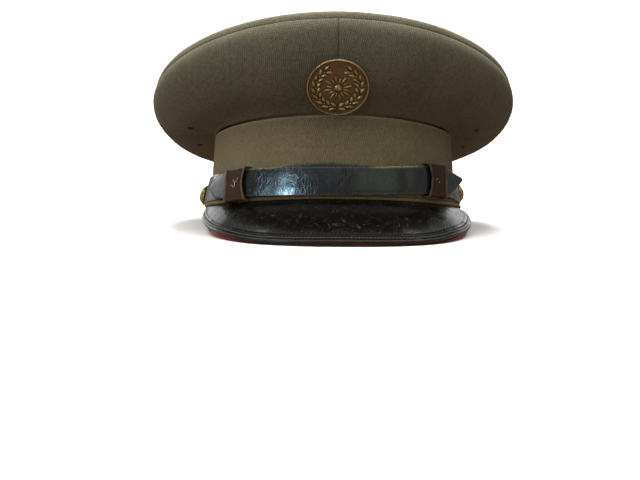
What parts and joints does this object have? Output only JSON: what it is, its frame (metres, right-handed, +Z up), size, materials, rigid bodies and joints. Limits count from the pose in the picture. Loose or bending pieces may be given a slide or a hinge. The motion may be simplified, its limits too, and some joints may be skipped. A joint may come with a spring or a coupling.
{
  "type": "peaked cap",
  "caption": "Peaked service cap with a wide stiffened cloth crown, a cloth band, a curved leather peak, a leather chin strap with slides and side buttons, and a round front badge.",
  "frame": {"origin": "middle of the footprint box, on the surface that the cap rests on", "axes": "+Z up, -Y towards the front of the peak, +X to the right as seen from the front"},
  "size_m": [0.2612, 0.2988, 0.1382],
  "materials": {
    "crown_wool": "olive-drab wool, brushed, dull",
    "band_wool": "olive-drab wool, a lighter shade",
    "visor_leather": "black-brown, crackled, half gloss",
    "under_leather": "maroon lining leather, dull",
    "strap_leather": "black, polished, creased",
    "slide_leather": "dark brown with worn edges",
    "aged_brass": "aged, dark in the recesses",
    "staple_steel": "dull bright wire",
    "vent_metal": "dark painted eyelets"
  },
  "bodies": {
    "root": {"crown_top": "crown_wool", "quarter_front_right": "crown_wool", "quarter_back_right": "crown_wool", "quarter_back_left": "crown_wool", "quarter_front_left": "crown_wool", "vent_right_1": "vent_metal", "vent_left_1": "vent_metal", "vent_right_2": "vent_metal", "vent_left_2": "vent_metal", "vent_right_3": "vent_metal", "vent_left_3": "vent_metal", "vent_right_4": "vent_metal", "vent_left_4": "vent_metal", "band": "band_wool", "band_welt": "band_wool", "visor": "visor_leather", "visor_under": "under_leather", "visor_bead": "visor_leather", "strap_under": "strap_leather", "strap_front": "strap_leather", "slide_left": "slide_leather", "slide_right": "slide_leather", "staple_left": "staple_steel", "staple_right": "staple_steel", "button_left": "aged_brass", "button_right": "aged_brass", "badge": "aged_brass"}
  },
  "joints": []
}
